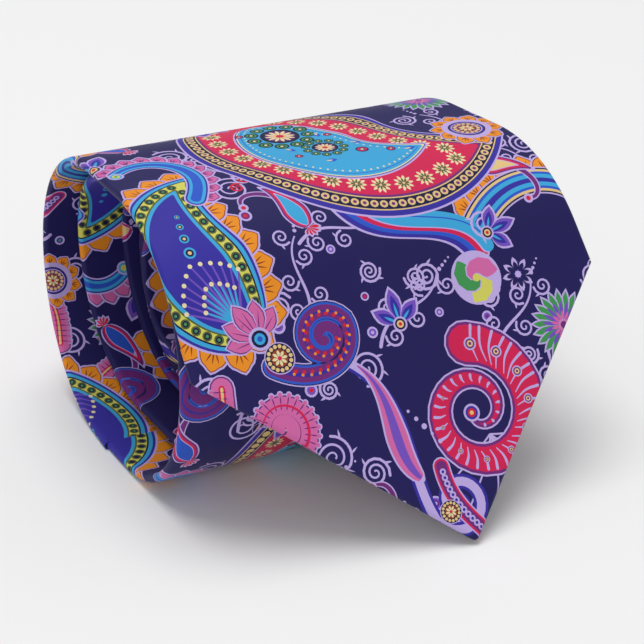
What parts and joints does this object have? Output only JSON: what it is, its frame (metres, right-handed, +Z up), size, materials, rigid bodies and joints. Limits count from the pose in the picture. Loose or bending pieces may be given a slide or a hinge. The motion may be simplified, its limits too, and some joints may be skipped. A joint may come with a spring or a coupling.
{
  "type": "necktie",
  "caption": "Wide printed satin necktie rolled up from its narrow end, with the pointed blade sloping down to the table; the outer turn unrolls flat.",
  "frame": {"origin": "middle of the flat underside that the roll rests on", "axes": "X along the roll, +Y towards the back of the roll, away from the hanging point, +Z up"},
  "size_m": [0.1049, 0.1179, 0.069],
  "materials": {
    "printed_satin": "satin",
    "interlining": "matte",
    "lining": "satin",
    "thread": "satin",
    "label": "satin"
  },
  "bodies": {
    "roll_core": {"blade_panel": "printed_satin", "neck_panel": "printed_satin", "tail_panel": "printed_satin", "core_interlining": "interlining", "core_slip_stitch": "thread", "tail_tipping": "lining"},
    "turn_01": {"blade_cloth_01": "printed_satin", "interlining_01": "interlining", "slip_stitch_01": "thread"},
    "turn_02": {"blade_cloth_02": "printed_satin", "interlining_02": "interlining", "slip_stitch_02": "thread", "keeper_loop": "printed_satin", "keeper_stitches": "thread"},
    "turn_03": {"blade_cloth_03": "printed_satin", "interlining_03": "interlining", "slip_stitch_03": "thread", "care_tag": "label"},
    "turn_04": {"blade_cloth_04": "printed_satin", "interlining_04": "interlining", "slip_stitch_04": "thread"},
    "turn_05": {"blade_cloth_05": "printed_satin", "interlining_05": "interlining", "slip_stitch_05": "thread"},
    "turn_06": {"blade_cloth_06": "printed_satin", "interlining_06": "interlining", "slip_stitch_06": "thread", "woven_label": "label", "label_stitches": "thread"},
    "turn_07": {"blade_cloth_07": "printed_satin", "interlining_07": "interlining", "slip_stitch_07": "thread"},
    "turn_08": {"blade_cloth_08": "printed_satin", "interlining_08": "interlining", "slip_stitch_08": "thread"},
    "turn_09": {"blade_cloth_09": "printed_satin", "interlining_09": "interlining", "slip_stitch_09": "thread"},
    "blade_end": {"blade_point_cloth": "printed_satin", "blade_point_interlining": "interlining", "blade_tipping": "lining", "blade_bar_tack": "thread"}
  },
  "joints": [
    {"name": "unroll_01", "type": "hinge", "parent": "roll_core", "child": "turn_01", "pos_m": [0, 0.009, 0], "axis": [-1, 0, 0], "range_deg": [0, 15]},
    {"name": "unroll_02", "type": "hinge", "parent": "turn_01", "child": "turn_02", "pos_m": [0, 0.02625, 0.00462], "axis": [-1, 0, 0], "range_deg": [0, 30]},
    {"name": "unroll_03", "type": "hinge", "parent": "turn_02", "child": "turn_03", "pos_m": [0, 0.03888, 0.01725], "axis": [-1, 0, 0], "range_deg": [0, 30]},
    {"name": "unroll_04", "type": "hinge", "parent": "turn_03", "child": "turn_04", "pos_m": [0, 0.0435, 0.0345], "axis": [-1, 0, 0], "range_deg": [0, 30]},
    {"name": "unroll_05", "type": "hinge", "parent": "turn_04", "child": "turn_05", "pos_m": [0, 0.03888, 0.05175], "axis": [-1, 0, 0], "range_deg": [0, 30]},
    {"name": "unroll_06", "type": "hinge", "parent": "turn_05", "child": "turn_06", "pos_m": [0, 0.02625, 0.06438], "axis": [-1, 0, 0], "range_deg": [0, 30]},
    {"name": "unroll_07", "type": "hinge", "parent": "turn_06", "child": "turn_07", "pos_m": [0, 0.009, 0.069], "axis": [-1, 0, 0], "range_deg": [0, 15]},
    {"name": "unroll_08", "type": "hinge", "parent": "turn_07", "child": "turn_08", "pos_m": [0, -0.009, 0.069], "axis": [-1, 0, 0], "range_deg": [0, 13.75]},
    {"name": "unroll_09", "type": "hinge", "parent": "turn_08", "child": "turn_09", "pos_m": [0, -0.02493, 0.0651], "axis": [-1, 0, 0], "range_deg": [0, 27.5]},
    {"name": "unroll_10", "type": "hinge", "parent": "turn_09", "child": "blade_end", "pos_m": [0, -0.03726, 0.05429], "axis": [-1, 0, 0], "range_deg": [0, 13.75]}
  ],
  "couplings": [
    {"joint": "unroll_02", "follows": "unroll_01", "ratio": 2},
    {"joint": "unroll_03", "follows": "unroll_01", "ratio": 2},
    {"joint": "unroll_04", "follows": "unroll_01", "ratio": 2},
    {"joint": "unroll_05", "follows": "unroll_01", "ratio": 2},
    {"joint": "unroll_06", "follows": "unroll_01", "ratio": 2},
    {"joint": "unroll_07", "follows": "unroll_01", "ratio": 1},
    {"joint": "unroll_08", "follows": "unroll_01", "ratio": 0.91667},
    {"joint": "unroll_09", "follows": "unroll_01", "ratio": 1.8333},
    {"joint": "unroll_10", "follows": "unroll_01", "ratio": 0.91667}
  ]
}
